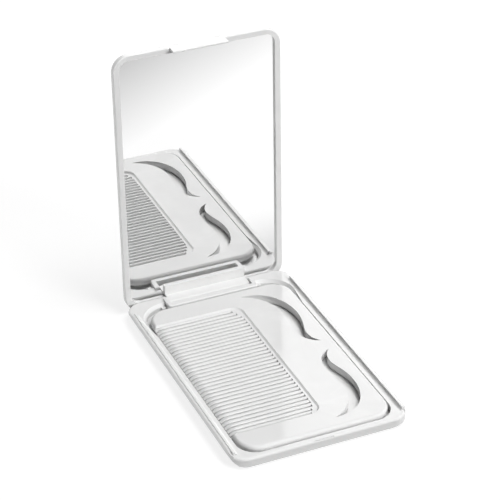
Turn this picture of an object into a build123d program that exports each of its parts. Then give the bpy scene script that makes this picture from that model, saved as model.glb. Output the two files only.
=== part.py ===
"""Folding pocket compact: a shallow tray that holds a loose flat comb, and a
lid with a mirror that swings up on a pin behind the comb.

Frame, in millimetres: origin at the middle of the tray's underside, +X along
the hinge pin, -Y towards the latch, +Z up.  The lid is drawn standing fully open, square to
the tray, which is the pose that the hinge joint calls zero."""
from build123d import *
from math import atan2, cos, pi, sin
import os

os.makedirs("parts", exist_ok=True)

# ---------------------------------------------------------------- main sizes
WIDTH = 62.0             # of the tray
LID_W = 60.2             # of the lid, a little less so that it lands inside
LENGTH = 99.9            # of the tray, latch side to hinge side
CORNER_R = 6.0           # plan corners of both halves
BASE_H = 4.0             # underside to deck
LID_T = 3.0              # lid thickness
COMB_T = 2.6             # comb thickness
COMB_CORNER_R = 7.5
TOOTH_PITCH = 2.0
TOOTH_GAP = 0.76         # width of the gap between two teeth
SPINE_W = 21.2           # comb's solid side, from the tooth roots to its edge
END_BAR = 10.9           # comb's end to the first tooth gap
SCROLL_END = 4.8         # comb's end to the tip of the pierced scroll
BRIDGE_W = 5.8           # solid bridge between the scroll's two leaves
HINGE_W = 30.4           # length of the knuckle along the pin
PIN_D = 1.5
RIB_H = 1.2              # side ribs, above the deck; the lid lands on them
TAB_W = 19.7             # finger tab on the lid
TAB_REACH = 3.2          # how far the tab stands off the lid's face
MIRROR_T = 1.0

# ---------------------------------------------------------------- clearances
RUN = 0.05               # pin in its bores, on the radius
SWING_GAP = 1.6          # knuckle to the housing wall: its top sweeps forward
SIDE_RUN = 0.25          # knuckle to ear
COMB_GAP = 0.5           # comb to the side walls of its well
COMB_GAP_END = 0.8       # comb to the front wall of its well
COMB_GAP_REAR = 0.75     # comb to the hinge housing
LAND = 0.1               # lid face above the ribs when shut
PIN_LIFT = 0.25          # knuckle and lid foot above the ground
TAB_GAP = 0.3            # tab to the front face when shut
STOP_GAP = 0.1           # lid face to the tray's rear when open
GLASS_GAP = 0.1          # glass to its pocket
SEAT_GAP = 0.1           # knuckle plate to the frame notch

# ---------------------------------------------------------------- wall sizes
DECK_T = 0.9             # tray plate above the parting plane
SHELL_FLOOR = 0.8
WELL_FLOOR = 0.6
WALL = 0.9
SHELL_WALL = 1.3
FLANK = 6.0              # how far the underside draws in along the long sides
FLANK_R = 2.6            # the tighter arc where that meets the side
TOP_R = 1.0              # outer top edge
FOOT_BEVEL = 1.0         # outer bottom edge
RIB_W = 0.8
RIB_INSET = 1.0          # rib's outer face to the tray's side
RIB_COVE = 1.1           # hollow round-in between the deck and each rib
RIB_SETBACK = 1.6        # rib's front end, from the comb well's front edge
SHOULDER_H = 0.8         # shoulder outside each rib, above the deck
SHOULDER_RAMP = 10       # slope, in degrees, of the shoulder's front end
SIDE_BAR = 4.0           # side face to the comb well
FRONT_BAR = 1.8          # front face to the comb well
REAR_BAR = 5.2           # rear face to the comb well
BED_H = 0.85             # raised bed in the middle of the well
BED_INSET = 2.0          # comb's edge to the edge of that bed
PAD_H = 0.35             # pads on the bed that carry the comb
HOUSE_WALL = 2.0         # hinge housing in front of the knuckle
HOUSE_RISE = 0.85        # housing above the deck
EAR_T = 1.55
EAR_ROOT = 1.9           # solid behind each ear that also holds the pin
KNUCKLE_R = 1.45
KNUCKLE_RISE = 0.2       # knuckle block above the deck, lid open
FRAME_T = 1.0            # mirror frame, in front of the glass
PAD_T = 0.15             # adhesive sheet
TAB_T = 0.7
FRAME_SIDE = 2.1         # frame width beside the mirror
FRAME_TOP = 1.9          # frame height above the mirror
FRAME_FOOT = 3.1         # frame height below the mirror
FOOT_RELIEF = 0.4        # frame foot set back, so that it passes the tray's rear edge
GLASS_LAP = 0.6          # glass hidden under the frame
TONGUE_LAP = 4.1         # knuckle plate in front of the mirror
LATCH_W = 7.0            # slot in the tray's front face that the snap ridge enters
FIELD_DROP = 0.6         # toothed field below the comb's top
FIELD_MID = -0.3         # middle of the teeth, from the middle of the comb
FIELD_R = 4.0            # inner corners of the toothed field
TOOTH_FLARE = 0.34       # each side of a gap's mouth, rounds the tooth backs
TIP_RUN = 3.6            # length over which the teeth bend down to their tips
TIP_DROP = 1.1           # and by how much
TIP_THIN = 0.3           # what the underside gives up at the tips
RIM_SLOPE = 1.1          # slope down into the comb well at its rear
RIM_RUN = 10.0           # along each side, where that slope runs out
CREASE = 0.2             # groove between knuckle block and lid plate

# ------------------------------------------------------------------- derived
PART_Z = BASE_H - DECK_T                       # tray to shell parting plane
RIB_TOP = BASE_H + RIB_H
SHOULDER_TOP = BASE_H + SHOULDER_H
LID_PLANE = RIB_TOP + LAND                     # lid face height when shut
PIN_R = PIN_D / 2
PIN_Z = KNUCKLE_R + PIN_LIFT
PIN_Y = LENGTH / 2 + STOP_GAP - (LID_PLANE - PIN_Z)
FACE_Y = LENGTH / 2 + STOP_GAP                 # lid face when open
TAB_END = -LENGTH / 2 - TAB_GAP - TAB_T        # outer end of the shut lid
LID_TOP = PIN_Z + PIN_Y - TAB_END              # and its height when open
LID_FOOT = PIN_Z - KNUCKLE_R
LID_MID = (LID_TOP + LID_FOOT) / 2
LID_H = LID_TOP - LID_FOOT
MIRROR_W = LID_W - 2 * FRAME_SIDE              # mirror seen inside the frame
MIRROR_FOOT = LID_FOOT + FRAME_FOOT
MIRROR_TOP = LID_TOP - FRAME_TOP
MIRROR_R = 3.5
WELL_W = WIDTH - 2 * SIDE_BAR
WELL_Y0 = -LENGTH / 2 + FRONT_BAR
WELL_Y1 = LENGTH / 2 - REAR_BAR
WELL_R = COMB_CORNER_R - 0.6
WELL_REAR_R = COMB_CORNER_R + 1.5
WELL_Z = SHELL_FLOOR + WELL_FLOOR              # top of the well's floor
NOTCH_W = HINGE_W + 2 * SIDE_RUN
NOTCH_Y0 = PIN_Y - KNUCKLE_R - SWING_GAP
HOUSE_W = NOTCH_W + 2 * EAR_T
HOUSE_Y0 = NOTCH_Y0 - HOUSE_WALL
HOUSE_TOP = BASE_H + HOUSE_RISE
COMB_W = WELL_W - 2 * COMB_GAP
COMB_Y0 = WELL_Y0 + COMB_GAP_END
COMB_Y1 = HOUSE_Y0 - COMB_GAP_REAR
COMB_L = COMB_Y1 - COMB_Y0
COMB_YC = (COMB_Y0 + COMB_Y1) / 2
BED_TOP = WELL_Z + BED_H
COMB_Z0 = BED_TOP + PAD_H
COMB_TOP = COMB_Z0 + COMB_T
TOOTH_GAPS = int((COMB_L - 2 * END_BAR) / TOOTH_PITCH) + 1
PIN_L = HOUSE_W + 2 * EAR_ROOT - 0.6


def box(x0, x1, y0, y1, z0, z1):
    """Box between two corners."""
    return Pos((x0 + x1) / 2, (y0 + y1) / 2, (z0 + z1) / 2) * Box(x1 - x0, y1 - y0, z1 - z0)


def slab(w, l, r, z0, z1, y=0.0):
    """Upright prism over a rounded rectangle."""
    return Pos(0, y, z0) * extrude(RectangleRounded(w, l, r), z1 - z0)


def x_prism(points, x0, x1):
    """Prism along X over a polygon given as (y, z) points."""
    face = make_face(Polyline(*[(0, y, z) for y, z in points], close=True))
    return Pos(x0, 0, 0) * extrude(face, x1 - x0, dir=(1, 0, 0))


def x_rod(r, length, y, z):
    """Cylinder along X, centred."""
    return Pos(0, y, z) * (Rot(0, 90, 0) * Cylinder(r, length))


# ----------------------------------------------------------------- the tray
def flank_form():
    """What the underside keeps between its two drawn-in long sides.  Each side
    is a wide arc that leaves the flat and a tighter one that meets the side."""
    slack = 0.06                               # keeps it off the faces it doesn't cut
    flat, side, r2 = WIDTH / 2 - FLANK, WIDTH / 2 + slack, FLANK_R
    reach, h = FLANK + slack - r2, BASE_H + slack
    r1 = (reach ** 2 + h ** 2 - r2 ** 2) / (2 * (h - r2))
    lean = atan2(reach, r1 - h)                # where the two arcs meet, from straight down
    z0, top = -slack, 3 * BASE_H
    arc1 = [(flat + r1 * sin(a), z0 + r1 - r1 * cos(a)) for a in (lean / 2, lean)]
    arc2 = [(side - r2 + r2 * sin(a), BASE_H - r2 * cos(a)) for a in ((lean + pi / 2) / 2, pi / 2)]
    with BuildSketch(Plane.XZ) as sk:
        with BuildLine():
            for s in (-1, 1):
                turn = [(s * x, z) for x, z in arc1 + arc2]
                ThreePointArc((s * flat, z0), turn[0], turn[1])
                ThreePointArc(turn[1], turn[2], turn[3])
                Line(turn[3], (s * side, top))
            Line((-flat, z0), (flat, z0))
            Line((-side, top), (side, top))
        make_face()
    return extrude(sk.sketch, LENGTH, both=True)


def base_form():
    """Outer form of the closed tray, as one solid."""
    body = slab(WIDTH, LENGTH, CORNER_R, 0, BASE_H)
    body = fillet(body.faces().sort_by(Axis.Z)[-1].outer_wire().edges(), TOP_R)
    body = chamfer(body.faces().sort_by(Axis.Z)[0].outer_wire().edges(), FOOT_BEVEL)
    return body & flank_form()


def well(grow, z0, z1):
    """Comb well, or with grow its outer wall; rear corners are rounder."""
    w, y0, y1 = WELL_W + 2 * grow, WELL_Y0 - grow, WELL_Y1 + grow
    body = box(-w / 2, w / 2, y0, y1, z0, z1)
    up = body.edges().filter_by(Axis.Z)
    body = fillet(up.sort_by(Axis.Y)[:2], WELL_R + grow)
    up = body.edges().filter_by(Axis.Z).sort_by(Axis.Y)[-2:]
    return fillet(up, WELL_REAR_R + grow)


def rim_form():
    """What stays round the well once its rear edge slopes down to the comb."""
    block = box(-WIDTH, WIDTH, -LENGTH, LENGTH, -1, BASE_H) - well(0, -2, BASE_H + 1)
    rim = [e for e in block.edges() if e.bounding_box().min.Z > BASE_H - 0.01
           and abs(e.center().X) < WELL_W / 2 and abs(e.center().Y - WELL_Y1) < WELL_REAR_R]
    x, y = WELL_W / 2, WELL_Y1 - WELL_REAR_R
    plan = Polyline((-WIDTH, -LENGTH), (WIDTH, -LENGTH), (WIDTH, y), (x + RIM_SLOPE, y),
                    (x, y - RIM_RUN), (-x, y - RIM_RUN), (-x - RIM_SLOPE, y), (-WIDTH, y),
                    close=True)
    plain = Pos(0, 0, -1) * extrude(make_face(plan), BASE_H + 1, dir=(0, 0, 1))
    return (chamfer(rim, RIM_SLOPE) + (block & plain)
            + well(0.05, -1, BASE_H - RIM_SLOPE - 0.1))


def bed(inset, z0, z1):
    """Block below the comb, inset from the comb's outline."""
    return slab(COMB_W - 2 * inset, COMB_L - 2 * inset, COMB_CORNER_R - inset, z0, z1, COMB_YC)


def hinge_notch():
    """Room that the knuckle swings in, open to the rear and below."""
    return box(-NOTCH_W / 2, NOTCH_W / 2, NOTCH_Y0, LENGTH, -1, LENGTH)


def ear_zone(z0, z1):
    """Solid round both ends of the pin."""
    half = HOUSE_W / 2 + EAR_ROOT
    return box(-half, half, NOTCH_Y0 - 0.01, LENGTH / 2 - SHELL_WALL, z0, z1)


def pin_bore():
    return x_rod(PIN_R + RUN, PIN_L + 0.4, PIN_Y, PIN_Z)


def make_tray(form):
    """Deck, comb well, side ribs and hinge housing in one moulding."""
    plate = form & box(-WIDTH, WIDTH, -LENGTH, LENGTH, PART_Z, LENGTH)
    tub = well(WALL, SHELL_FLOOR, PART_Z)
    house = box(-HOUSE_W / 2, HOUSE_W / 2, HOUSE_Y0, WELL_Y1 + WALL, SHELL_FLOOR, HOUSE_TOP)
    front = house.edges().filter_by(Axis.Z).sort_by(Axis.Y)[:2]
    house = fillet(front, 1.2)
    crown = house.faces().sort_by(Axis.Z)[-1]
    house = fillet(crown.edges().sort_by(Axis.Y)[:4], 0.55)
    ears = ear_zone(PIN_Z, PART_Z)
    body = plate + tub - well(0, WELL_Z, BASE_H + 1)
    body = (body & rim_form()) + bed(BED_INSET, WELL_Z - 0.1, BED_TOP)
    body -= bed(BED_INSET + WALL, SHELL_FLOOR - 1, BED_TOP - WELL_FLOOR)
    body = body + house + ears
    rear = box(-HOUSE_W / 2, HOUSE_W / 2, WELL_Y1 - 1, PIN_Y + 1.3, PART_Z, HOUSE_TOP)
    body += fillet(rear.edges().filter_by(Axis.X).group_by(Axis.Z)[-1].sort_by(Axis.Y)[-1:], 0.5)
    rib_y0, rib_y1 = WELL_Y0 + RIB_SETBACK, WELL_Y1 - 3.0
    plan = slab(WIDTH, LENGTH, CORNER_R, PART_Z, SHOULDER_TOP)
    ramp = Pos(0, WELL_Y0, BASE_H) * Rot(X=SHOULDER_RAMP) * box(-WIDTH, WIDTH, -6, 6, 0, 3)
    for side in (-1, 1):
        x = side * (WIDTH / 2 - RIB_INSET - RIB_W / 2)
        rib = box(x - RIB_W / 2, x + RIB_W / 2, rib_y0, rib_y1, BASE_H - 0.3, RIB_TOP)
        body += fillet(rib.faces().sort_by(Axis.Z)[-1].edges().filter_by(Axis.Y), 0.2)
        x -= side * (RIB_W / 2 + RIB_COVE / 2 - 0.02)
        cove = box(x - RIB_COVE / 2, x + RIB_COVE / 2, rib_y0, rib_y1, BASE_H - 0.1,
                   BASE_H + RIB_COVE)
        hollow = Rot(X=90) * Cylinder(RIB_COVE, LENGTH)
        body += cove - Pos(x - side * RIB_COVE / 2, 0, BASE_H + RIB_COVE) * hollow
        x = side * (WIDTH - RIB_INSET) / 2
        step = box(x - RIB_INSET / 2, x + RIB_INSET / 2, WELL_Y0, rib_y1, PART_Z, SHOULDER_TOP)
        top = step.faces().sort_by(Axis.Z)[-1].edges().filter_by(Axis.Y)
        step = fillet(top.sort_by(Axis.X)[-1 if side > 0 else 0], RIB_INSET * 0.8)
        body += (step & plan) - ramp
        for end in (-1, 1):
            body += Pos(side * COMB_W * 0.34, COMB_YC + end * (COMB_L / 2 - 3.4), 0) * box(
                -4, 4, -1.2, 1.2, BED_TOP - 0.1, COMB_Z0)
    catch = box(-LATCH_W / 2, LATCH_W / 2, -LENGTH / 2 - 1, -LENGTH / 2 + 0.55,
                BASE_H - 0.6, BASE_H - 0.2)
    return body - hinge_notch() - pin_bore() - catch


def make_shell(form):
    """Bottom casing under the tray, hollow round the comb well."""
    body = form & box(-WIDTH, WIDTH, -LENGTH, LENGTH, -1, PART_Z)
    inner_w, inner_l = WIDTH - 2 * SHELL_WALL, LENGTH - 2 * SHELL_WALL
    room = slab(inner_w, inner_l, CORNER_R - SHELL_WALL, SHELL_FLOOR, PART_Z + 1)
    half, flat, z0 = inner_w / 2, inner_w / 2 - FLANK, SHELL_FLOOR
    with BuildSketch(Plane.XZ) as sk:
        with BuildLine():
            Line((-flat, z0), (flat, z0))
            Line((flat, z0), (half, PART_Z))
            Line((half, PART_Z), (half, BASE_H + 2))
            Line((half, BASE_H + 2), (-half, BASE_H + 2))
            Line((-half, BASE_H + 2), (-half, PART_Z))
            Line((-half, PART_Z), (-flat, z0))
        make_face()
    room = room & extrude(sk.sketch, LENGTH, both=True)
    room += well(WALL + 0.1, SHELL_FLOOR, PART_Z + 1)
    posts = ear_zone(SHELL_FLOOR - 0.1, PIN_Z) - box(
        -HOUSE_W / 2 - 0.1, HOUSE_W / 2 + 0.1, 0, NOTCH_Y0 + 0.1, -1, BASE_H)
    body = body - room + (posts & form)
    keep = well(WALL + 0.1, SHELL_FLOOR, PIN_Z + 1) & ear_zone(SHELL_FLOOR, PIN_Z + 1)
    return body - keep - hinge_notch() - pin_bore()


# ----------------------------------------------------------------- the comb
def wing():
    """One pierced leaf of the scroll: points as inset from the comb's edge and
    share of the way from the bridge to the tip."""
    outer = [(18.9, 1.0), (14.3, 0.985), (10.4, 0.93), (7.1, 0.82), (5.1, 0.67), (4.6, 0.53),
             (5.6, 0.34), (6.9, 0.21), (6.7, 0.10), (4.4, 0.0)]
    inner = [(4.4, 0.0), (7.9, 0.065), (9.8, 0.17), (10.1, 0.31), (9.6, 0.49), (9.7, 0.68),
             (11.5, 0.82), (14.6, 0.925), (18.9, 1.0)]
    near, far = BRIDGE_W / 2, COMB_L / 2 - SCROLL_END
    edge = [Spline(*[(COMB_W / 2 - inset, near + (far - near) * t) for inset, t in side])
            for side in (outer, inner)]
    return make_face(edge)


def make_comb():
    """Flat comb: a toothed field between two end bars, and a pierced spine."""
    body = slab(COMB_W, COMB_L, COMB_CORNER_R, COMB_Z0, COMB_TOP)
    body = fillet(body.faces().sort_by(Axis.Z)[-1].outer_wire().edges(), 1.3)
    body = chamfer(body.faces().sort_by(Axis.Z)[0].outer_wire().edges(), 0.35)
    # toothed field, set a little below the spine and thinned towards the tips
    run = TOOTH_PITCH * (TOOTH_GAPS - 1)
    x0, x1, drop, mid = -COMB_W / 2, COMB_W / 2 - SPINE_W, FIELD_DROP, FIELD_MID
    field = box(x0 - 6, x1, mid - run / 2 - 1.0, mid + run / 2 + 1.9, COMB_TOP - drop, COMB_TOP + 1)
    field = fillet(field.edges().filter_by(Axis.Z).sort_by(Axis.X)[-2:], FIELD_R)
    field = chamfer(field.faces().sort_by(Axis.Z)[0].edges(), drop * 0.8)
    body -= field
    under = Polyline((x0 - 1, 0, COMB_Z0 - 1), (x0 - 1, 0, COMB_Z0 + TIP_THIN),
                     (x0, 0, COMB_Z0 + TIP_THIN), (x1 - 4, 0, COMB_Z0), (x1 - 4, 0, COMB_Z0 - 1),
                     close=True)
    thin = extrude(make_face(under), run / 2 + 1.0, both=True)
    bend_r = (TIP_RUN ** 2 + TIP_DROP ** 2) / (2 * TIP_DROP)
    z1, lead = COMB_TOP - drop, 0.2
    mid_z = z1 - bend_r + (bend_r ** 2 - (TIP_RUN / 2) ** 2) ** 0.5
    end_z = z1 - bend_r + (bend_r ** 2 - (TIP_RUN + lead) ** 2) ** 0.5
    over = [ThreePointArc((x0 + TIP_RUN, 0, z1), (x0 + TIP_RUN / 2, 0, mid_z), (x0 - lead, 0, end_z)),
            Polyline((x0 - lead, 0, end_z), (x0 - lead, 0, z1 + 2), (x0 + TIP_RUN, 0, z1 + 2),
                     (x0 + TIP_RUN, 0, z1))]
    bend = extrude(make_face(over), run / 2 + 1.0, both=True)
    body -= Pos(0, mid, 0) * thin
    body -= Pos(0, mid, 0) * bend
    # gaps: parallel slots whose mouths flare, leaving rounded tooth backs
    half, top = TOOTH_GAP / 2, COMB_TOP - drop
    mouth = half + TOOTH_FLARE
    slot = x_prism([(-half, COMB_Z0 - 1), (-half, top - 0.4), (-mouth, top + 0.05),
                    (-mouth, top + 2), (mouth, top + 2), (mouth, top + 0.05),
                    (half, top - 0.4), (half, COMB_Z0 - 1)], x0 - 1, x1 - 1.3)
    slots = []
    for i in range(TOOTH_GAPS):
        y = mid - run / 2 + i * TOOTH_PITCH
        from_end = min(i, TOOTH_GAPS - 1 - i)      # the outermost gaps are a little shorter
        slots.append(Pos(-max(0.0, 2.2 - 0.9 * from_end), y, 0) * slot)
    body -= slots
    for side in (0, 1):
        leaf = wing() if side == 0 else mirror(wing(), Plane.XZ)
        cut = extrude(leaf, COMB_T + 2, dir=(0, 0, 1))
        body -= Pos(0, 0, COMB_Z0 - 1) * cut
    return Pos(0, COMB_YC, 0) * body


# ------------------------------------------------------------------ the lid
def lid_slab(w, z0, z1, r, u0, u1):
    """Upright plate of the open lid, u0 to u1 behind its face."""
    y0, y1 = FACE_Y + u0, FACE_Y + u1
    flat = Plane((0, y1, (z0 + z1) / 2), x_dir=(1, 0, 0), z_dir=(0, -1, 0))
    return extrude(flat * RectangleRounded(w, z1 - z0, r), y1 - y0)


def make_frame():
    """Mirror frame with the finger tab and its snap ridge."""
    body = lid_slab(LID_W, LID_FOOT, LID_TOP, CORNER_R, 0, FRAME_T)
    body = chamfer(body.faces().sort_by(Axis.Y)[0].outer_wire().edges(), 0.25)
    body -= lid_slab(MIRROR_W, MIRROR_FOOT, MIRROR_TOP, MIRROR_R, -1, FRAME_T + 1)
    body -= box(-WIDTH, WIDTH, FACE_Y - 1, FACE_Y + FOOT_RELIEF, LID_FOOT - 1, MIRROR_FOOT)
    tab = box(-TAB_W / 2, TAB_W / 2, FACE_Y - TAB_REACH, FACE_Y + 0.5, LID_TOP - TAB_T, LID_TOP)
    body += fillet(tab.faces().sort_by(Axis.Y)[0].edges().filter_by(Axis.X), 0.3)
    ridge_y = FACE_Y - (LID_PLANE - BASE_H + 0.4)
    reach = TAB_GAP + 0.25
    body += box(-LATCH_W / 2 + 0.3, LATCH_W / 2 - 0.3, ridge_y - 0.12, ridge_y + 0.12,
                LID_TOP - TAB_T - reach, LID_TOP - TAB_T + 0.2)
    half = HINGE_W / 2 + SEAT_GAP
    return body - box(-half, half, 0, LENGTH, LID_FOOT - 1, MIRROR_FOOT + 1)


def make_lid_shell():
    """Back of the lid with the pocket for the mirror."""
    body = lid_slab(LID_W, LID_FOOT, LID_TOP, CORNER_R, FRAME_T, LID_T)
    body = fillet(body.faces().sort_by(Axis.Y)[-1].outer_wire().edges(), 1.3)
    gap = GLASS_LAP + GLASS_GAP
    pocket = lid_slab(MIRROR_W + 2 * gap, MIRROR_FOOT - gap, MIRROR_TOP + gap, MIRROR_R + gap,
                      FRAME_T - 1, FRAME_T + MIRROR_T + PAD_T)
    return body - pocket


def make_mirror():
    return lid_slab(MIRROR_W + 2 * GLASS_LAP, MIRROR_FOOT - GLASS_LAP, MIRROR_TOP + GLASS_LAP,
                    MIRROR_R + GLASS_LAP, FRAME_T, FRAME_T + MIRROR_T)


def make_adhesive():
    return lid_slab(MIRROR_W - 2, MIRROR_FOOT + 1, MIRROR_TOP - 1, MIRROR_R,
                    FRAME_T + MIRROR_T, FRAME_T + MIRROR_T + PAD_T)


def make_knuckle():
    """Hinge arm of the lid: block on the pin, and the plate on the lid."""
    half, y0, top = HINGE_W / 2, PIN_Y - KNUCKLE_R, BASE_H + KNUCKLE_RISE
    block = box(-half, half, y0, FACE_Y + 0.1, LID_FOOT, top)
    front = block.faces().sort_by(Axis.Y)[0].edges().filter_by(Axis.X).sort_by(Axis.Z)
    block = fillet(front[-1], 1.0)
    front = block.faces().sort_by(Axis.Y)[0].edges().filter_by(Axis.X).sort_by(Axis.Z)
    block = fillet(front[0], KNUCKLE_R * 0.9)
    block += box(-half, half, FACE_Y, FACE_Y + FRAME_T, LID_FOOT, MIRROR_FOOT + TONGUE_LAP)
    block -= box(-half - 1, half + 1, FACE_Y - CREASE, FACE_Y, top - CREASE, top + 1)
    return block - x_rod(PIN_R + RUN, HINGE_W + 2, PIN_Y, PIN_Z)


def make_pin():
    pin = x_rod(PIN_R, PIN_L, PIN_Y, PIN_Z)
    return chamfer(pin.edges().filter_by(GeomType.CIRCLE), 0.2)


def one(shape):
    """The single solid of a finished piece."""
    found = shape.solids()
    if len(found) != 1:
        raise ValueError("piece has %d solids" % len(found))
    return found[0]


FORM = base_form()
PIECES = {
    "base_shell": make_shell(FORM),
    "base_tray": make_tray(FORM),
    "hinge_pin": make_pin(),
    "comb": make_comb(),
    "hinge_knuckle": make_knuckle(),
    "lid_frame": make_frame(),
    "lid_shell": make_lid_shell(),
    "mirror": make_mirror(),
    "mirror_adhesive": make_adhesive(),
}
for name, shape in PIECES.items():
    solid = one(shape)
    export_step(solid, "parts/%s.step" % name)
    bb = solid.bounding_box()
    print("%-16s %9.1f mm3  x %.2f..%.2f  y %.2f..%.2f  z %.2f..%.2f" % (
        name, solid.volume, bb.min.X, bb.max.X, bb.min.Y, bb.max.Y, bb.min.Z, bb.max.Z))
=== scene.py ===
"""Looks for a folding pocket compact: tray, loose comb and mirror lid."""
import math
import bpy
from mathutils import Matrix, Vector

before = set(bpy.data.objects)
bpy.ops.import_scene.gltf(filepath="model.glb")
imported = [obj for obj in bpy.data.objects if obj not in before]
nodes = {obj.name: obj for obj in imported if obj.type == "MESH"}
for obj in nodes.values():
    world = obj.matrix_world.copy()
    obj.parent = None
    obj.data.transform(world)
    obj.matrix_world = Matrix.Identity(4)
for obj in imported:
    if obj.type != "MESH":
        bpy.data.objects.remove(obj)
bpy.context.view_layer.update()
scene = bpy.context.scene

# Lengths are in metres, except the camera's lens and sensor, which are in
# millimetres. Colours are linear.
CAMERA_PLACE = (-0.21735, -0.50885, 0.37956)
CAMERA_AZIMUTH, CAMERA_HEIGHT, CAMERA_ROLL = -22.80, 31.06, -0.99     # degrees
CAMERA_LENS, CAMERA_SENSOR, CAMERA_NEAR = 143.0, 36, 0.01

PLASTIC_WHITE = (0.80, 0.80, 0.797, 1)
WORN_WHITE = (0.97, 0.97, 0.965, 1)
PLASTIC_IOR, PLASTIC_SPECULAR = 1.45, 0.4
GLOSS_BEST, GLOSS_RUBBED = 0.07, 0.11     # roughness, where polished and where rubbed
SINK_DEPTH = 0.000001

SILVER_CLEAR, SILVER_HAZY = (0.94, 0.94, 0.94, 1), (0.925, 0.925, 0.925, 1)
STEEL_DARK, STEEL_LIGHT = (0.55, 0.55, 0.56, 1), (0.66, 0.66, 0.67, 1)
STEEL_GRAIN = (60, 2500, 2500)            # long along the pin, fine across it
FOAM_DARK, FOAM_LIGHT = (0.60, 0.60, 0.58, 1), (0.80, 0.80, 0.78, 1)
FOAM_CELLS, FOAM_DEPTH = 2200.0, 0.0001

FLOOR_SIZE, FLOOR_DROP = 6, 0.0002        # the drop keeps it clear of the underside
FLOOR_MATT = (0.24, 0.24, 0.24, 1)
FALL_TOWARDS = (-0.62, -1.0, 0)           # where the reflected floor goes grey
# painted shade: the floor's glow in reflections is dimmed around this point
PAINTED_SHADE_CORNER = (0.040, 0.048, 0)          # where the reflected floor is shaded
WORLD_SOFT, WORLD_WHITE = 0.01, 1.0       # light on matt surfaces, and as a background
HALF_BOUNCE = 0.5                         # between no matt bounce and the first one

# name, place, aim, width and height, power in watts
SOFTBOXES = (
    ("top softbox", (0.55, -0.38, 1.52), (0, 0, 0), (0.73, 0.73), 20.0),
    ("front softbox", (0.83, -1.58, 0.95), (0, 0, 0.03), (0.72, 0.72), 22.5),
    ("left strip", (-1.20, -0.10, 0.035), (0, 0, 0.035), (0.80, 0.06), 6.5),
    ("rear softbox", (0, 1.72, 0.16), (0, 0.05, 0.05), (0.30, 0.20), 17.0),
)
# name, place, width and height, power in watts
GLOSS_CARDS = (
    ("rear card", (0.31, 0.74, 0.50), (0.70, 0.70), 3.9),
    ("front card", (0.31, -0.74, 0.50), (0.70, 0.70), 0.8),
)


# ------------------------------------------------------------ camera
def place_camera():
    azimuth, height, roll = (math.radians(angle) for angle in
                             (CAMERA_AZIMUTH, CAMERA_HEIGHT, CAMERA_ROLL))
    back = Vector((math.sin(azimuth) * math.cos(height),
                   -math.cos(azimuth) * math.cos(height),
                   math.sin(height)))
    right = Vector((math.cos(azimuth), math.sin(azimuth), 0))
    up = back.cross(right)
    level_right = math.cos(roll) * right + math.sin(roll) * up
    level_up = -math.sin(roll) * right + math.cos(roll) * up
    bpy.ops.object.camera_add(location=(0, 0, 0))
    camera = bpy.context.object
    camera.name = "camera"
    camera.data.lens = CAMERA_LENS
    camera.data.sensor_width = CAMERA_SENSOR
    camera.data.clip_start = CAMERA_NEAR
    turn = Matrix((level_right, level_up, back)).transposed().to_4x4()
    camera.matrix_world = Matrix.Translation(CAMERA_PLACE) @ turn
    scene.camera = camera


# ------------------------------------------------------------ node helpers
def feed(tree, socket, value):
    """Give an input the output of another node, or a plain value."""
    if isinstance(value, bpy.types.NodeSocket):
        tree.links.new(value, socket)
    else:
        socket.default_value = value


def add(tree, kind, **settings):
    node = tree.nodes.new(kind)
    for name, value in settings.items():
        setattr(node, name, value)
    return node


def wire(tree, node, **inputs):
    """Feed a node's inputs by name, with _ for a space."""
    for name, value in inputs.items():
        feed(tree, node.inputs[name.replace("_", " ")], value)
    return node


def noise(tree, vector, **inputs):
    node = wire(tree, add(tree, "ShaderNodeTexNoise"), Vector=vector, **inputs)
    return node.outputs["Fac"]


def remap(tree, value, curve="LINEAR", **ends):
    """Map a value between two ranges. An end that isn't given stays 0 or 1."""
    node = add(tree, "ShaderNodeMapRange", interpolation_type=curve)
    return wire(tree, node, Value=value, **ends).outputs["Result"]


def reckon(tree, operation, *terms):
    node = add(tree, "ShaderNodeMath", operation=operation)
    for socket, term in zip(node.inputs, terms):
        feed(tree, socket, term)
    return node.outputs[0]


def measure(tree, operation, *vectors):
    """Vector math that comes out as one number."""
    node = add(tree, "ShaderNodeVectorMath", operation=operation)
    for socket, vector in zip(node.inputs, vectors):
        feed(tree, socket, vector)
    return node.outputs["Value"]


def mix_colours(tree, factor, first, second):
    node = add(tree, "ShaderNodeMix", data_type="RGBA")
    return wire(tree, node, Factor=factor, A=first, B=second).outputs["Result"]


def bump(tree, height, **inputs):
    node = wire(tree, add(tree, "ShaderNodeBump"), Height=height, **inputs)
    return node.outputs[0]


def object_place(tree):
    return add(tree, "ShaderNodeTexCoord").outputs["Object"]


def new_material(name):
    material = bpy.data.materials.new(name)
    material.use_nodes = True
    tree = material.node_tree
    tree.nodes.clear()
    out = add(tree, "ShaderNodeOutputMaterial")
    shader = add(tree, "ShaderNodeBsdfPrincipled")
    tree.links.new(shader.outputs[0], out.inputs["Surface"])
    return material, tree, shader


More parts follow.
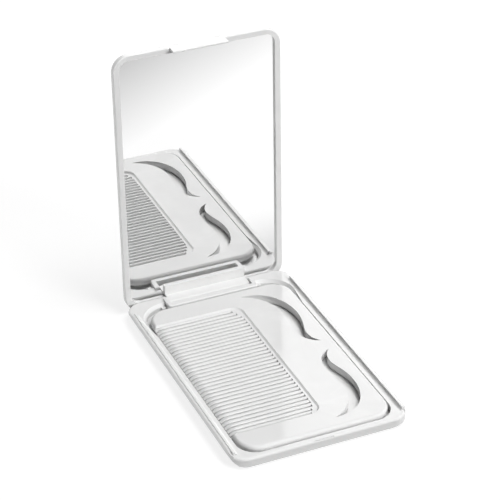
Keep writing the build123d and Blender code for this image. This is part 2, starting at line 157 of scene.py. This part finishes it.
# ------------------------------------------------------------ shared effects
def moulded_surface():
    """Colour, gloss and faint waviness of a polished plastic moulding."""
    group = bpy.data.node_groups.new("moulded surface", "ShaderNodeTree")
    side = group.interface.new_socket
    side("Colour", in_out="INPUT", socket_type="NodeSocketColor")
    for name in ("Gloss spread", "Wave height", "Flow size", "Edge wear"):
        side(name, in_out="INPUT", socket_type="NodeSocketFloat")
    side("Colour", in_out="OUTPUT", socket_type="NodeSocketColor")
    side("Roughness", in_out="OUTPUT", socket_type="NodeSocketFloat")
    side("Normal", in_out="OUTPUT", socket_type="NodeSocketVector")
    given = add(group, "NodeGroupInput").outputs
    result = add(group, "NodeGroupOutput")
    where = object_place(group)
    # slow drift of the melt through the mould, a percent or so in colour
    flow = noise(group, where, Scale=given["Flow size"], Detail=3.0)
    tint = remap(group, flow, To_Min=0.975, To_Max=1.0)
    shade = add(group, "ShaderNodeVectorMath", operation="SCALE")
    feed(group, shade.inputs[0], given["Colour"])
    feed(group, shade.inputs["Scale"], tint)
    # handled edges lose a little of their polish and go paler
    edge = add(group, "ShaderNodeNewGeometry").outputs["Pointiness"]
    worn = remap(group, edge, From_Min=0.52, From_Max=0.60)
    patchy = noise(group, where, Scale=160.0)
    mask = reckon(group, "MULTIPLY", worn, patchy)
    amount = reckon(group, "MULTIPLY", mask, given["Edge wear"])
    colour = mix_colours(group, amount, shade.outputs[0], WORN_WHITE)
    # hairline rub marks show only in the gloss
    rub = noise(group, where, Scale=90.0, Detail=6.0, Distortion=0.4)
    gloss = remap(group, rub, From_Min=0.3, From_Max=0.7,
                  To_Min=GLOSS_BEST, To_Max=given["Gloss spread"])
    wear_roughness = 0.25
    roughness = reckon(group, "MULTIPLY_ADD", amount, wear_roughness, gloss)
    # sink marks, far below what a finger feels
    wave = noise(group, where, Scale=55.0, Detail=2.0)
    normal = bump(group, wave, Strength=0.25, Distance=given["Wave height"])
    wire(group, result, Colour=colour, Roughness=roughness, Normal=normal)
    return group


moulded = moulded_surface()


def white_plastic(name, flow, wear):
    material, tree, shader = new_material(name)
    group = add(tree, "ShaderNodeGroup", node_tree=moulded)
    wire(tree, group, Colour=PLASTIC_WHITE, Gloss_spread=GLOSS_RUBBED,
         Wave_height=SINK_DEPTH, Flow_size=flow, Edge_wear=wear)
    wire(tree, shader, Base_Color=group.outputs["Colour"],
         Roughness=group.outputs["Roughness"], Normal=group.outputs["Normal"],
         IOR=PLASTIC_IOR, Specular_IOR_Level=PLASTIC_SPECULAR)
    return material


def silvered_glass():
    material, tree, shader = new_material("silvered glass")
    film = noise(tree, object_place(tree), Scale=40.0, Detail=5.0)
    haze = remap(tree, film, From_Min=0.45, From_Max=0.8, To_Min=0.006, To_Max=0.03)
    silver = mix_colours(tree, film, SILVER_CLEAR, SILVER_HAZY)
    wire(tree, shader, Base_Color=silver, Roughness=haze, Metallic=1.0)
    return material


def drawn_steel():
    material, tree, shader = new_material("drawn steel")
    along = wire(tree, add(tree, "ShaderNodeMapping"),
                 Vector=object_place(tree), Scale=STEEL_GRAIN)
    lines = noise(tree, along.outputs[0], Scale=1.0)
    colour = mix_colours(tree, lines, STEEL_DARK, STEEL_LIGHT)
    dull = remap(tree, lines, To_Min=0.22, To_Max=0.42)
    wire(tree, shader, Base_Color=colour, Roughness=dull, Metallic=1.0)
    return material


def foam_sheet():
    material, tree, shader = new_material("foam sheet")
    texture = wire(tree, add(tree, "ShaderNodeTexVoronoi"),
                   Vector=object_place(tree), Scale=FOAM_CELLS)
    cells = texture.outputs["Distance"]
    colour = mix_colours(tree, cells, FOAM_DARK, FOAM_LIGHT)
    pores = bump(tree, cells, Strength=0.4, Distance=FOAM_DEPTH)
    wire(tree, shader, Base_Color=colour, Normal=pores, Roughness=0.85)
    return material


casing = white_plastic("casing plastic", flow=12.0, wear=0.5)
lid_plastic = white_plastic("lid plastic", flow=10.0, wear=0.5)
comb_plastic = white_plastic("comb plastic", flow=14.0, wear=0.6)
finish = {
    "base_shell": casing, "base_tray": casing, "comb": comb_plastic,
    "hinge_knuckle": lid_plastic, "lid_frame": lid_plastic, "lid_shell": lid_plastic,
    "mirror": silvered_glass(), "hinge_pin": drawn_steel(), "mirror_adhesive": foam_sheet(),
}
for name, material in finish.items():
    slots = nodes[name].material_slots
    if not slots:
        nodes[name].data.materials.append(material)
    for slot in slots:
        slot.material = material


# ------------------------------------------------------------ studio
def unlit_path(tree, ray):
    """One on rays that no matt surface has sent on, so the white stays a
    background and adds no light to the object."""
    return reckon(tree, "LESS_THAN", ray["Diffuse Depth"], HALF_BOUNCE)


def pale_stage():
    """Floor that stays white to the camera and still takes the shadow."""
    bpy.ops.object.select_all(action="DESELECT")
    bpy.ops.mesh.primitive_plane_add(size=FLOOR_SIZE, location=(0, 0, -FLOOR_DROP))
    floor = bpy.context.object
    floor.name = "floor"
    material = bpy.data.materials.new("pale floor")
    material.use_nodes = True
    tree = material.node_tree
    tree.nodes.clear()
    out = add(tree, "ShaderNodeOutputMaterial")
    lit = wire(tree, add(tree, "ShaderNodeBsdfDiffuse"), Color=FLOOR_MATT)
    where = object_place(tree)
    ray = add(tree, "ShaderNodeLightPath").outputs
    # in reflections the floor falls off to grey towards the near left
    fall = remap(tree, measure(tree, "DOT_PRODUCT", where, FALL_TOWARDS),
                 From_Min=0.055, From_Max=0.115, To_Min=0.84, To_Max=0.40)
    # and a painted shade dims its glow in the corner by the hinge, on the right of the tray
    painted_corner_shade = remap(tree, measure(tree, "DISTANCE", where, PAINTED_SHADE_CORNER), "SMOOTHSTEP",
                   From_Max=0.048, To_Min=0.55)
    shaded = reckon(tree, "MULTIPLY", fall, painted_corner_shade)
    polished = reckon(tree, "MULTIPLY", ray["Is Glossy Ray"], unlit_path(tree, ray))
    mirrored = reckon(tree, "MULTIPLY", polished, shaded)
    # only the floor near the object leaves room for a shadow below white
    clear = remap(tree, measure(tree, "LENGTH", where), "SMOOTHSTEP",
                  From_Min=0.12, From_Max=0.60, To_Min=0.82, To_Max=1.0)
    power = reckon(tree, "MULTIPLY_ADD", ray["Is Camera Ray"], clear, mirrored)
    glow = wire(tree, add(tree, "ShaderNodeEmission"), Strength=power)
    both = add(tree, "ShaderNodeAddShader")
    for socket, part in zip(both.inputs, (lit, glow)):
        feed(tree, socket, part.outputs[0])
    wire(tree, out, Surface=both.outputs[0])
    floor.data.materials.append(material)


def world_light():
    """White background for the camera and for gloss, next to no light on matt."""
    world = bpy.data.worlds.new("studio")
    scene.world = world
    world.use_nodes = True
    tree = world.node_tree
    tree.nodes.clear()
    out = add(tree, "ShaderNodeOutputWorld")
    soft, white = (wire(tree, add(tree, "ShaderNodeBackground"),
                        Color=(1, 1, 1, 1), Strength=strength)
                   for strength in (WORLD_SOFT, WORLD_WHITE))
    ray = add(tree, "ShaderNodeLightPath").outputs
    seen = reckon(tree, "MULTIPLY_ADD", ray["Is Glossy Ray"], unlit_path(tree, ray),
                  ray["Is Camera Ray"])
    mix = add(tree, "ShaderNodeMixShader")
    for socket, value in zip(mix.inputs, (seen, soft.outputs[0], white.outputs[0])):
        feed(tree, socket, value)
    wire(tree, out, Surface=mix.outputs[0])


def area_lamp(name, place, aim, size, power):
    bpy.ops.object.light_add(type="AREA", location=place)
    lamp = bpy.context.object
    lamp.name = name
    lamp.data.shape = "RECTANGLE"
    lamp.data.size, lamp.data.size_y = size
    lamp.data.energy = power
    lamp.visible_camera = False
    direction = Vector(aim) - Vector(place)
    lamp.rotation_euler = direction.to_track_quat("-Z", "Y").to_euler()
    return lamp


def softbox(name, place, aim, size, power):
    """Lamp that lights the matt colour. World and cards make the gloss."""
    area_lamp(name, place, aim, size, power).visible_glossy = False


def gloss_card(name, place, size, power):
    """Card that polished surfaces show, and that lights nothing matt."""
    card = area_lamp(name, place, (0, 0, 0), size, power)
    card.visible_diffuse = False
    card.data.use_nodes = True
    tree = card.data.node_tree
    ray = add(tree, "ShaderNodeLightPath").outputs
    glow = next(node for node in tree.nodes if node.type == "EMISSION")
    wire(tree, glow, Strength=unlit_path(tree, ray))


place_camera()
pale_stage()
world_light()
for lamp in SOFTBOXES:
    softbox(*lamp)
for card in GLOSS_CARDS:
    gloss_card(*card)
scene.view_settings.view_transform = "Standard"
